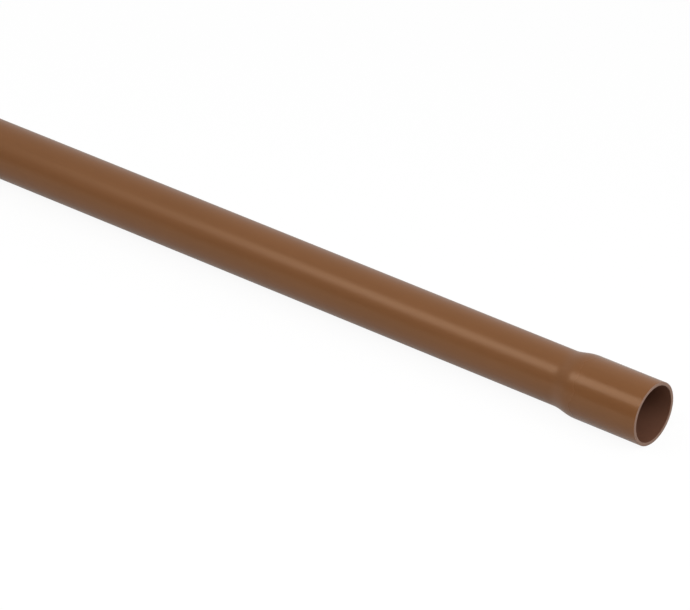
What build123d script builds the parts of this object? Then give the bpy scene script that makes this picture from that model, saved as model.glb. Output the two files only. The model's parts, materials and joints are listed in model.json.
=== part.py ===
from build123d import *
import os
from math import radians, tan

# A length of rigid PVC pressure pipe, extruded in one piece, with a socket formed on one end
# so that the plain end of the next length slides in and is solvent-welded there.
# Millimetres. The origin is the centre of the socket's mouth, +X points out of the mouth,
# and the pipe lies along X with +Z up.

# Driving dimensions
overall_length = 3000.0    # stock length, from the socket's mouth to the plain end
pipe_diameter = 25.0       # outside diameter of the barrel
pipe_wall = 1.7
socket_depth = 33.5        # straight part of the socket, from its mouth
socket_clearance = 0.1     # radial room for the solvent cement round the next length
socket_wall = 1.55         # the wall is stretched thinner where the socket is formed
shoulder_slope = 12.5      # degrees, cone between the socket and the barrel
shoulder_bend = 21.0       # radius of the wall's middle where the cone runs out at either end
mouth_round = 0.25         # outer edge of the mouth
mouth_lead_in = 0.15       # inner edge of the mouth, broken at 45 degrees
end_break = 0.3            # both edges of the plain end, broken at 45 degrees

# Radii that follow from them
barrel_outer = pipe_diameter / 2
barrel_inner = barrel_outer - pipe_wall
socket_inner = barrel_outer + socket_clearance
socket_outer = socket_inner + socket_wall


def shoulder_line(socket_radius, barrel_radius, socket_bend, barrel_bend):
    """One side of the wall, from the mouth to the plain end: socket, shoulder and barrel.

    The socket's straight part ends where its bend begins, so the corner of the cone
    lies one tangent length beyond it.
    """
    slope = radians(shoulder_slope)
    cone_start = socket_depth + socket_bend * tan(slope / 2)
    cone_end = cone_start + (socket_radius - barrel_radius) / tan(slope)
    return FilletPolyline(
        (0, socket_radius),
        (-cone_start, socket_radius),
        (-cone_end, barrel_radius),
        (-overall_length, barrel_radius),
        radius=[socket_bend, barrel_bend],
    )


def corners_at(end, section):
    """The wall's corners at its mouth or plain end, from the bore outwards."""
    plain_end, *_, mouth = section.vertices().group_by(Axis.X)
    corners = mouth if end == "mouth" else plain_end
    return corners.sort_by(Axis.Y)


def wall_section():
    """Half section of the wall, with X along the pipe and Y as the radius."""
    with BuildSketch() as section:
        with BuildLine():
            # The outside bends about the same centres as the bore, one wall further out
            # at the socket and one wall further in at the barrel.
            outside = shoulder_line(
                socket_outer,
                barrel_outer,
                shoulder_bend + socket_wall / 2,
                shoulder_bend - pipe_wall / 2,
            )
            inside = shoulder_line(
                socket_inner,
                barrel_inner,
                shoulder_bend - socket_wall / 2,
                shoulder_bend + pipe_wall / 2,
            )
            Line(outside @ 0, inside @ 0)
            Line(outside @ 1, inside @ 1)
        make_face()
        chamfer(corners_at("plain end", section), end_break)
        chamfer(corners_at("mouth", section)[0], mouth_lead_in)
        fillet(corners_at("mouth", section)[-1], mouth_round)
    return section.sketch


pipe = revolve(Plane.XZ * wall_section(), axis=Axis.X, revolution_arc=360)
pipe.label = "pipe"

os.makedirs("parts", exist_ok=True)
export_step(pipe, "parts/pipe.step")
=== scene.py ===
# Brown PVC pressure pipe with a socket formed on one end, lying on a white studio floor.
import json
import math

import bpy
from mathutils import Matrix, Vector


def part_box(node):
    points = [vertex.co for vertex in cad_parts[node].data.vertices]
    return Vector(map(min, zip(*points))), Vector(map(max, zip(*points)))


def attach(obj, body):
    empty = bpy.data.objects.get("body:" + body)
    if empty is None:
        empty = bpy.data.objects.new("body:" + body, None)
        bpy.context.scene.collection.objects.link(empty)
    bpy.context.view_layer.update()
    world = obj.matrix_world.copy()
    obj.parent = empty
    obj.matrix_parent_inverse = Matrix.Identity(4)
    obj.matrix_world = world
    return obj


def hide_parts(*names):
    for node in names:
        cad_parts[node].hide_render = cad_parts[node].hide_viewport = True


mm = 0.001

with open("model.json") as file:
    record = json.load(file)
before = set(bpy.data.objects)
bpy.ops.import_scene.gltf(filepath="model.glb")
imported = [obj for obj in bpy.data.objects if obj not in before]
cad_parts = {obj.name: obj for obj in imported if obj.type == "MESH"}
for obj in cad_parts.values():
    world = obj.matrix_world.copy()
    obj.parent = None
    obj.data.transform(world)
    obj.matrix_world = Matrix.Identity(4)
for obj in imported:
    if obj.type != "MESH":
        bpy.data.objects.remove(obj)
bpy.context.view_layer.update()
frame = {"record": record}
pipeLow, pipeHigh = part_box("pipe")
mounts = {mount["name"]: mount for mount in frame["record"]["mounts"]}
print("frame loaded, the pipe is", round(pipeHigh.x - pipeLow.x, 3), "m long")


def addNode(tree, kind, values=None, **properties):
    made = tree.nodes.new(kind)
    for name, value in properties.items():
        setattr(made, name, value)
    for name, value in (values or {}).items():
        made.inputs[name].default_value = value
    return made


def addMath(tree, operation, *terms):
    made = addNode(tree, "ShaderNodeMath", operation=operation)
    for socket, term in zip(made.inputs, terms):
        if isinstance(term, bpy.types.NodeSocket):
            tree.links.new(term, socket)
        else:
            socket.default_value = term
    return made.outputs[0]


# Sizes of the wall's section. What the frame or its mounts give is read from there.
wall = {
    "plainEnd": pipeLow.x,
    "mouth": pipeHigh.x,
    "socketOuter": pipeHigh.z,
    "socketBore": mounts["socket"]["dims"]["r_mm"] * mm,
    "barrelOuter": mounts["spigot"]["dims"]["r_mm"] * mm,
    "barrelWall": 1.7 * mm,
    "socketDepth": 33.5 * mm,
    "shoulderSlope": math.radians(12.5),
    "shoulderBend": 21 * mm,  # to the wall's middle
    "shoulderLength": 12 * mm,  # from the end of the straight socket to the straight barrel
    "mouthRound": 0.25 * mm,
    "mouthLeadIn": 0.15 * mm,
    "endBreak": 0.3 * mm,
    "bendSteps": 12,
    "roundSteps": 6,
    # Edge loops round the barrel, two near the socket and then one every 400 mm.
    "rings": [-60 * mm, -150 * mm] + [place * -400 * mm for place in range(1, 8)],
    "sides": 256,
    "weldDistance": 0.0001 * mm,
    "coreRadius": 5 * mm,  # of the circle that carries the section round the axis
    "creaseAngle": math.radians(30),
    "sawnLean": 0.6,  # a face that looks more along the axis than this is sawn
}


# Each corner is (place along the axis, radius, bend radius, steps in the bend).
def shoulderCorners(socketRadius, barrelRadius, socketBend, barrelBend):
    slope = wall["shoulderSlope"]
    start = wall["mouth"] - wall["socketDepth"] - socketBend * math.tan(slope / 2)
    end = start - (socketRadius - barrelRadius) / math.tan(slope)
    steps = wall["bendSteps"]
    return [(start, socketRadius, socketBend, steps), (end, barrelRadius, barrelBend, steps)]


def sectionCorners():
    socketWall = wall["socketOuter"] - wall["socketBore"]
    barrelBore = wall["barrelOuter"] - wall["barrelWall"]
    bend = wall["shoulderBend"]
    outside = shoulderCorners(
        wall["socketOuter"], wall["barrelOuter"], bend + socketWall / 2, bend - wall["barrelWall"] / 2
    )
    inside = shoulderCorners(
        wall["socketBore"], barrelBore, bend - socketWall / 2, bend + wall["barrelWall"] / 2
    )
    return [
        (wall["mouth"], wall["socketOuter"], wall["mouthRound"], wall["roundSteps"]),
        *outside,
        *((ring, wall["barrelOuter"], 0, 1) for ring in wall["rings"]),
        (wall["plainEnd"], wall["barrelOuter"], wall["endBreak"], 1),
        (wall["plainEnd"], barrelBore, wall["endBreak"], 1),
        *((ring, barrelBore, 0, 1) for ring in reversed(wall["rings"])),
        *reversed(inside),
        (wall["mouth"], wall["socketBore"], wall["mouthLeadIn"], 1),
    ]


# The section lies flat for the node tree: X is the distance from the core, Y runs against the axis.
def sectionMesh():
    corners = sectionCorners()
    mesh = bpy.data.meshes.new("pipe_section")
    places = [(radius - wall["coreRadius"], -along, 0) for along, radius, bend, steps in corners]
    edges = [(place, (place + 1) % len(corners)) for place in range(len(corners))]
    mesh.from_pydata(places, edges, [])
    bends = mesh.attributes.new("bendRadius", "FLOAT", "POINT")
    bends.data.foreach_set("value", [bend for along, radius, bend, steps in corners])
    counts = mesh.attributes.new("bendSteps", "INT", "POINT")
    counts.data.foreach_set("value", [steps for along, radius, bend, steps in corners])
    return mesh


# Rounds the section's corners, carries it round the axis and gives each surface its material.
def turnedWallTree():
    tree = bpy.data.node_groups.new("turned wall", "GeometryNodeTree")
    face = tree.interface
    face.new_socket("Geometry", in_out="INPUT", socket_type="NodeSocketGeometry")
    for name in ("Core Radius", "Weld Distance", "Crease Angle", "Sawn Lean"):
        face.new_socket(name, in_out="INPUT", socket_type="NodeSocketFloat")
    face.new_socket("Sides", in_out="INPUT", socket_type="NodeSocketInt")
    for name in ("Skin", "Bore", "Sawn End"):
        face.new_socket(name, in_out="INPUT", socket_type="NodeSocketMaterial")
    face.new_socket("Geometry", in_out="OUTPUT", socket_type="NodeSocketGeometry")
    link = tree.links.new
    given = addNode(tree, "NodeGroupInput").outputs

    # The section as a curve, with its corners rounded.
    section = addNode(tree, "GeometryNodeMeshToCurve")
    link(given["Geometry"], section.inputs["Mesh"])
    bends = addNode(tree, "GeometryNodeInputNamedAttribute", {"Name": "bendRadius"}, data_type="FLOAT")
    counts = addNode(tree, "GeometryNodeInputNamedAttribute", {"Name": "bendSteps"}, data_type="INT")
    rounded = addNode(tree, "GeometryNodeFilletCurve", {"Limit Radius": True}, mode="POLY")
    link(section.outputs["Curve"], rounded.inputs["Curve"])
    link(bends.outputs["Attribute"], rounded.inputs["Radius"])
    link(counts.outputs["Attribute"], rounded.inputs["Count"])

    # Carried round a circle about Z, then laid along X.
    core = addNode(tree, "GeometryNodeCurvePrimitiveCircle")
    link(given["Core Radius"], core.inputs["Radius"])
    link(given["Sides"], core.inputs["Resolution"])
    turned = addNode(tree, "GeometryNodeCurveToMesh")
    link(core.outputs["Curve"], turned.inputs["Curve"])
    link(rounded.outputs["Curve"], turned.inputs["Profile Curve"])
    laid = addNode(tree, "GeometryNodeTransform", {"Rotation": (0, math.pi / 2, 0)})
    link(turned.outputs["Mesh"], laid.inputs["Geometry"])
    welded = addNode(tree, "GeometryNodeMergeByDistance")  # a ring's corner has no bend, so it comes twice
    link(laid.outputs["Geometry"], welded.inputs["Geometry"])
    link(given["Weld Distance"], welded.inputs["Distance"])

    # Smooth, apart from the edges of the sawn ends.
    smooth = addNode(tree, "GeometryNodeSetShadeSmooth", domain="FACE")
    link(welded.outputs["Geometry"], smooth.inputs["Geometry"])
    edgeAngle = addNode(tree, "GeometryNodeInputMeshEdgeAngle")
    sharp = addNode(tree, "FunctionNodeCompare", data_type="FLOAT", operation="GREATER_THAN")
    link(edgeAngle.outputs["Unsigned Angle"], sharp.inputs["A"])
    link(given["Crease Angle"], sharp.inputs["B"])
    creased = addNode(tree, "GeometryNodeSetShadeSmooth", {"Shade Smooth": False}, domain="EDGE")
    link(smooth.outputs["Geometry"], creased.inputs["Geometry"])
    link(sharp.outputs["Result"], creased.inputs["Selection"])
    real = addNode(tree, "GeometryNodeRealizeInstances")
    link(creased.outputs["Geometry"], real.inputs["Geometry"])

    # Skin all over, then the bore's material where faces look inwards and the sawn one on both ends.
    skinned = addNode(tree, "GeometryNodeSetMaterial")
    link(real.outputs["Geometry"], skinned.inputs["Geometry"])
    link(given["Skin"], skinned.inputs["Material"])
    normal = addNode(tree, "GeometryNodeInputNormal")
    across = addNode(tree, "ShaderNodeVectorMath", {1: (0, 1, 1)}, operation="MULTIPLY")
    link(addNode(tree, "GeometryNodeInputPosition").outputs["Position"], across.inputs[0])
    outward = addNode(tree, "ShaderNodeVectorMath", operation="DOT_PRODUCT")
    link(across.outputs["Vector"], outward.inputs[0])
    link(normal.outputs["Normal"], outward.inputs[1])
    bored = addNode(tree, "GeometryNodeSetMaterial")
    link(skinned.outputs["Geometry"], bored.inputs["Geometry"])
    link(addMath(tree, "LESS_THAN", outward.outputs["Value"], 0.0), bored.inputs["Selection"])
    link(given["Bore"], bored.inputs["Material"])
    lean = addNode(tree, "ShaderNodeSeparateXYZ")
    link(normal.outputs["Normal"], lean.inputs["Vector"])
    sawn = addNode(tree, "GeometryNodeSetMaterial")
    link(bored.outputs["Geometry"], sawn.inputs["Geometry"])
    isSawn = addMath(tree, "GREATER_THAN", addMath(tree, "ABSOLUTE", lean.outputs["X"]), given["Sawn Lean"])
    link(isSawn, sawn.inputs["Selection"])
    link(given["Sawn End"], sawn.inputs["Material"])
    made = addNode(tree, "NodeGroupOutput")
    link(sawn.outputs["Geometry"], made.inputs["Geometry"])
    return tree


def runTree(name, mesh, tree, inputs):
    piece = bpy.data.objects.new(name, mesh)
    bpy.context.scene.collection.objects.link(piece)
    modifier = piece.modifiers.new(tree.name, "NODES")
    modifier.node_group = tree
    for item in tree.interface.items_tree:
        if item.in_out == "INPUT" and item.name in inputs:
            modifier[item.identifier] = inputs[item.name]
    graph = bpy.context.evaluated_depsgraph_get()
    made = bpy.data.meshes.new_from_object(piece.evaluated_get(graph))
    piece.modifiers.remove(modifier)
    piece.data = made
    made.name = name
    return piece


# Colours are linear. Streaks and clouds are patches of noise, with their sizes on the pipe.
pvc = {
    "skinBrown": (0.198, 0.082, 0.031, 1),
    "skinShade": (0.180, 0.075, 0.028, 1),
    "boreBrown": (0.152, 0.068, 0.042, 1),
    "boreShade": (0.141, 0.063, 0.038, 1),
    "ior": 1.53,
    "specular": 0.40,
    "specularTint": (1.0, 0.70, 0.48, 1),  # the pigment warms what the surface reflects
    "socketRoughness": 0.24,  # the former leaves the socket glossier than the barrel
    "barrelRoughness": 0.33,
    "boreRoughness": 0.42,
    "glossVaries": 0.02,
    "streakLength": 400 * mm,
    "streakWidth": 0.9 * mm,
    "streakDetail": 2.0,
    "streakShare": 0.35,  # of the way from shade to brown
    "cloudLength": 60 * mm,
    "cloudWidth": 12 * mm,
    "cloudDetail": 3.0,
    "cloudShare": 0.65,
    "dieLineHeight": 0.004 * mm,
    "skinSeed": 1,
    "boreSeed": 11,
    "noiseRange": (0.3, 0.7),  # nearly all of a noise texture lies between these
}


def newMaterial(name, roughness):
    material = bpy.data.materials.new(name)
    material.use_nodes = True
    shader = material.node_tree.nodes["Principled BSDF"]
    shader.inputs["Roughness"].default_value = roughness
    shader.inputs["IOR"].default_value = pvc["ior"]
    shader.inputs["Specular IOR Level"].default_value = pvc["specular"]
    shader.inputs["Specular Tint"].default_value = pvc["specularTint"]
    return material, material.node_tree, shader


# Noise that is drawn out along the pipe, as extrusion leaves it.
def drawnOutNoise(tree, length, width, detail, seed):
    place = addNode(tree, "ShaderNodeTexCoord")
    stretch = addNode(tree, "ShaderNodeMapping", {"Scale": (1 / length, 1 / width, 1 / width)})
    noise = addNode(
        tree, "ShaderNodeTexNoise", {"Scale": 1.0, "Detail": detail, "W": seed}, noise_dimensions="4D"
    )
    tree.links.new(place.outputs["Object"], stretch.inputs["Vector"])
    tree.links.new(stretch.outputs["Vector"], noise.inputs["Vector"])
    return noise.outputs["Fac"]


def spreadRange(tree, value, fromRange, toRange):
    fromLow, fromHigh = fromRange
    toLow, toHigh = toRange
    spread = addNode(
        tree,
        "ShaderNodeMapRange",
        {"From Min": fromLow, "From Max": fromHigh, "To Min": toLow, "To Max": toHigh},
    )
    tree.links.new(value, spread.inputs["Value"])
    return spread.outputs["Result"]


# Mixes two colours by a tone from 0 to 1 and gives the result to the shader.
def mixTones(tree, shader, tone, dark, light):
    colour = addNode(tree, "ShaderNodeMix", {"A": dark, "B": light}, data_type="RGBA")
    tree.links.new(tone, colour.inputs["Factor"])
    tree.links.new(colour.outputs["Result"], shader.inputs["Base Color"])


def raiseSurface(tree, shader, height, distance):
    bump = addNode(tree, "ShaderNodeBump", {"Strength": 1.0, "Distance": distance})
    tree.links.new(height, bump.inputs["Height"])
    tree.links.new(bump.outputs["Normal"], shader.inputs["Normal"])


# Goes from the barrel's roughness to the socket's where the straight socket starts.
def glossAlongPipe(tree, barrelRoughness, socketRoughness):
    place = addNode(tree, "ShaderNodeSeparateXYZ")
    tree.links.new(addNode(tree, "ShaderNodeTexCoord").outputs["Object"], place.inputs["Vector"])
    socketEnd = wall["mouth"] - wall["socketDepth"]
    half = wall["shoulderLength"] / 2
    return spreadRange(
        tree, place.outputs["X"], (socketEnd - half, socketEnd + half), (barrelRoughness, socketRoughness)
    )


# As extruded: faint streaks and clouds in the colour, a little change in the gloss, and shallow die lines.
def extrudedMaterial(name, brown, shade, barrelRoughness, socketRoughness, seed):
    material, tree, shader = newMaterial(name, barrelRoughness)
    streaks = drawnOutNoise(tree, pvc["streakLength"], pvc["streakWidth"], pvc["streakDetail"], seed)
    clouds = drawnOutNoise(tree, pvc["cloudLength"], pvc["cloudWidth"], pvc["cloudDetail"], seed + 1)
    streakTone = spreadRange(tree, streaks, pvc["noiseRange"], (0.0, pvc["streakShare"]))
    cloudTone = spreadRange(tree, clouds, pvc["noiseRange"], (0.0, pvc["cloudShare"]))
    mixTones(tree, shader, addMath(tree, "ADD", streakTone, cloudTone), shade, brown)
    varied = spreadRange(tree, clouds, pvc["noiseRange"], (-pvc["glossVaries"], pvc["glossVaries"]))
    gloss = addMath(tree, "ADD", glossAlongPipe(tree, barrelRoughness, socketRoughness), varied)
    tree.links.new(gloss, shader.inputs["Roughness"])
    raiseSurface(tree, shader, streaks, pvc["dieLineHeight"])
    return material


# The sawn ends, with the lines that the blade leaves.
sawnEnd = {
    "brown": (0.188, 0.113, 0.083, 1),
    "pale": (0.240, 0.150, 0.114, 1),
    "roughness": 0.62,
    "lineSpacing": 0.9 * mm,
    "lineHeight": 0.012 * mm,
    "lineLean": math.radians(25),
    "lineWaver": 1.5,
    "lineDetail": 2.0,
    "lineDetailScale": 1.5,
    "lineShare": 0.3,  # of the way from brown to pale
    "patchSize": 1 * mm,
    "patchDetail": 3.0,
    "patchShare": 0.7,
    "patchSeed": 7,
    "waveTurns": 20,  # a wave texture of scale 1 turns this many radians in a metre
}


# As sawn: pale, rough, with the blade's lines across the face.
def sawnMaterial(name):
    material, tree, shader = newMaterial(name, sawnEnd["roughness"])
    place = addNode(tree, "ShaderNodeTexCoord")
    turn = addNode(tree, "ShaderNodeMapping", {"Rotation": (sawnEnd["lineLean"], 0, 0)})
    tree.links.new(place.outputs["Object"], turn.inputs["Vector"])
    lines = addNode(
        tree,
        "ShaderNodeTexWave",
        {
            "Scale": 2 * math.pi / (sawnEnd["waveTurns"] * sawnEnd["lineSpacing"]),
            "Distortion": sawnEnd["lineWaver"],
            "Detail": sawnEnd["lineDetail"],
            "Detail Scale": sawnEnd["lineDetailScale"],
        },
        bands_direction="Y",
    )
    tree.links.new(turn.outputs["Vector"], lines.inputs["Vector"])
    patches = drawnOutNoise(
        tree, sawnEnd["patchSize"], sawnEnd["patchSize"], sawnEnd["patchDetail"], sawnEnd["patchSeed"]
    )
    patchTone = spreadRange(tree, patches, pvc["noiseRange"], (0.0, sawnEnd["patchShare"]))
    lineTone = addMath(tree, "MULTIPLY", lines.outputs["Fac"], sawnEnd["lineShare"])
    mixTones(tree, shader, addMath(tree, "ADD", patchTone, lineTone), sawnEnd["brown"], sawnEnd["pale"])
    raiseSurface(tree, shader, lines.outputs["Fac"], sawnEnd["lineHeight"])
    return material


# The wall unrolled: each surface is a band of the map, and the socket's end gets the most room along it.
unroll = {
    "mapName": "OFBake",
    "bands": {"pvc_skin": (0.01, 0.55), "pvc_bore": (0.57, 0.91)},
    "mouthBand": (0.925, 0.955),
    "plainEndBand": (0.965, 0.995),
    # Places along the axis, each with its place on the map.
    "stops": [(wall["mouth"], 0.005), (-60 * mm, 0.30), (-400 * mm, 0.55), (wall["plainEnd"], 0.995)],
    "seam": math.radians(-90),  # on the underside, as an angle from +Y towards +Z
}


def stretchedAlong(along):
    stops = unroll["stops"]
    for (nearEnd, nearShare), (farEnd, farShare) in zip(stops, stops[1:]):
        if along >= farEnd:
            break
    return nearShare + (nearEnd - along) / (nearEnd - farEnd) * (farShare - nearShare)


def unrollWall(mesh):
    layout = mesh.uv_layers.new(name=unroll["mapName"])
    fullTurn = 2 * math.pi
    for face in mesh.polygons:
        material = mesh.materials[face.material_index].name
        middle = (math.atan2(face.center.z, face.center.y) - unroll["seam"]) % fullTurn
        for corner in face.loop_indices:
            place = mesh.vertices[mesh.loops[corner].vertex_index].co
            turned = math.atan2(place.z, place.y) - unroll["seam"]
            turned += round((middle - turned) / fullTurn) * fullTurn
            if material in unroll["bands"]:
                low, high = unroll["bands"][material]
                spot = (stretchedAlong(place.x), low + turned / fullTurn * (high - low))
            else:
                atMouth = place.x > wall["plainEnd"] / 2
                low, high = unroll["mouthBand"] if atMouth else unroll["plainEndBand"]
                outer = wall["socketOuter"] if atMouth else wall["barrelOuter"]
                inner = wall["socketBore"] if atMouth else wall["barrelOuter"] - wall["barrelWall"]
                share = (math.hypot(place.y, place.z) - inner) / (outer - inner)
                spot = (turned / fullTurn, low + share * (high - low))
            layout.data[corner].uv = spot


def makePipe():
    skin = extrudedMaterial(
        "pvc_skin",
        pvc["skinBrown"],
        pvc["skinShade"],
        pvc["barrelRoughness"],
        pvc["socketRoughness"],
        pvc["skinSeed"],
    )
    bore = extrudedMaterial(
        "pvc_bore",
        pvc["boreBrown"],
        pvc["boreShade"],
        pvc["boreRoughness"],
        pvc["boreRoughness"],
        pvc["boreSeed"],
    )
    piece = runTree(
        "pipe_wall",
        sectionMesh(),
        turnedWallTree(),
        {
            "Core Radius": wall["coreRadius"],
            "Weld Distance": wall["weldDistance"],
            "Crease Angle": wall["creaseAngle"],
            "Sawn Lean": wall["sawnLean"],
            "Sides": wall["sides"],
            "Skin": skin,
            "Bore": bore,
            "Sawn End": sawnMaterial("pvc_sawn"),
        },
    )
    unrollWall(piece.data)
    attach(piece, "root")
    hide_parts("pipe")


makePipe()
print("pipe made")


studio = {
    "floorHalf": 60.0,
    "floorGrey": 0.64,  # of its paint, as it lights the pipe
    "floorSeenGrey": 1.0,  # and as the camera sees it, with the pipe's shadow
    "floorSeenWhite": 0.93,  # share of the floor that shows as plain white to the camera
    "floorReflectedWhite": 0.45,  # and in reflections and through glass
    "skyDark": 0.0,  # on the camera's side
    "skyBright": 0.82,  # behind the pipe
}


def makeFloor():
    half = studio["floorHalf"]
    height = -wall["socketOuter"]
    mesh = bpy.data.meshes.new("floor")
    corners = [(-half, -half, height), (half, -half, height), (half, half, height), (-half, half, height)]
    mesh.from_pydata(corners, [], [(0, 1, 2, 3)])
    floor = bpy.data.objects.new("floor", mesh)
    bpy.context.scene.collection.objects.link(floor)
    material = bpy.data.materials.new("floor_white")
    material.use_nodes = True
    tree = material.node_tree
    link = tree.links.new
    tree.nodes.remove(tree.nodes["Principled BSDF"])
    paint = addNode(tree, "ShaderNodeBsdfDiffuse")
    glow = addNode(tree, "ShaderNodeEmission", {"Color": (1, 1, 1, 1), "Strength": 1.0})
    path = addNode(tree, "ShaderNodeLightPath").outputs
    greys = (studio["floorGrey"], studio["floorSeenGrey"])
    link(spreadRange(tree, path["Is Camera Ray"], (0.0, 1.0), greys), paint.inputs["Color"])
    seen = addMath(tree, "MULTIPLY", path["Is Camera Ray"], studio["floorSeenWhite"])
    bounced = addMath(tree, "MAXIMUM", path["Is Glossy Ray"], path["Is Transmission Ray"])
    reflected = addMath(tree, "MULTIPLY", bounced, studio["floorReflectedWhite"])
    share = addMath(tree, "MAXIMUM", seen, reflected)
    mixed = addNode(tree, "ShaderNodeMixShader")
    link(share, mixed.inputs["Fac"])
    link(paint.outputs["BSDF"], mixed.inputs[1])
    link(glow.outputs["Emission"], mixed.inputs[2])
    link(mixed.outputs["Shader"], tree.nodes["Material Output"].inputs["Surface"])
    mesh.materials.append(material)


# The sky goes evenly from dark on the camera's side of the pipe to bright behind it.
def makeSky():
    world = bpy.data.worlds.new("sky")
    bpy.context.scene.world = world
    world.use_nodes = True
    tree = world.node_tree
    link = tree.links.new
    way = addNode(tree, "ShaderNodeSeparateXYZ")
    link(addNode(tree, "ShaderNodeTexCoord").outputs["Generated"], way.inputs["Vector"])
    strength = spreadRange(tree, way.outputs["Y"], (-1.0, 1.0), (studio["skyDark"], studio["skyBright"]))
    link(strength, tree.nodes["Background"].inputs["Strength"])
    tree.nodes["Background"].inputs["Color"].default_value = (1, 1, 1, 1)


# Each lamp is a flat softbox: its middle, where it looks, its size along X and across,
# and how bright it looks. The first three lay the band of light along the pipe.
lamps = {
    "socket_box": {
        "middle": (0.02, -0.475, 0.643), "looksAt": (0.02, 0, 0), "size": (1.16, 0.38), "glow": 2.8
    },
    "barrel_box": {
        "middle": (-0.605, -0.475, 0.643), "looksAt": (-0.605, 0, 0), "size": (0.09, 0.38), "glow": 10.0
    },
    "far_box": {
        "middle": (-2.3, 0.16, 0.784), "looksAt": (-2.3, 0, 0), "size": (1.9, 0.5), "glow": 2.1
    },
    "mouth_box": {
        "middle": (0.766, 0, 0.643), "looksAt": (0, 0, 0), "size": (0.5, 0.5), "glow": 6.6
    },
    "plain_end_box": {
        "middle": (-3.766, 0, 0.643), "looksAt": (-3, 0, 0), "size": (0.5, 0.5), "glow": 5.0
    },
}


def makeLamps():
    for name, lamp in lamps.items():
        light = bpy.data.lights.new(name, "AREA")
        light.shape = "RECTANGLE"
        light.size, light.size_y = lamp["size"]
        light.energy = lamp["glow"] * math.pi * light.size * light.size_y  # watts for that brightness
        made = bpy.data.objects.new(name, light)
        made.location = lamp["middle"]
        way = Vector(lamp["looksAt"]) - Vector(lamp["middle"])
        made.rotation_euler = way.to_track_quat("-Z", "Y").to_euler()
        made.visible_camera = False
        bpy.context.scene.collection.objects.link(made)


# The camera stands so that the middle of the mouth falls on its pixel of the 690 by 610 picture.
camera = {
    "azimuth": math.radians(37.723),
    "elevation": math.radians(31.849),
    "focalPixels": 5778.0,
    "pictureWide": 690,
    "pictureHigh": 610,
    "mouthPixel": (653.85, 414.25),
    "mouthDepth": 2390.788 * mm,
    "sensor": 36.0,
    "clipNear": 0.05,
    "clipFar": 500,
}


def makeCamera():
    azimuth, elevation = camera["azimuth"], camera["elevation"]
    back = Vector((
        math.sin(azimuth) * math.cos(elevation),
        -math.cos(azimuth) * math.cos(elevation),
        math.sin(elevation),
    ))
    turn = back.to_track_quat("Z", "Y")
    right, up = turn @ Vector((1, 0, 0)), turn @ Vector((0, 1, 0))
    pixel = camera["mouthDepth"] / camera["focalPixels"]
    mouthRight = (camera["mouthPixel"][0] - camera["pictureWide"] / 2) * pixel
    mouthUp = (camera["pictureHigh"] / 2 - camera["mouthPixel"][1]) * pixel
    mouth = Vector((wall["mouth"], 0, 0))
    lens = bpy.data.cameras.new("camera")
    lens.sensor_width = camera["sensor"]
    lens.lens = camera["sensor"] * camera["focalPixels"] / camera["pictureWide"]
    lens.clip_start, lens.clip_end = camera["clipNear"], camera["clipFar"]
    made = bpy.data.objects.new("camera", lens)
    made.location = mouth - right * mouthRight - up * mouthUp + back * camera["mouthDepth"]
    made.rotation_euler = turn.to_euler()
    bpy.context.scene.collection.objects.link(made)
    bpy.context.scene.camera = made


makeFloor()
makeSky()
makeLamps()
makeCamera()
bpy.context.scene.view_settings.view_transform = "Standard"
print("studio made")
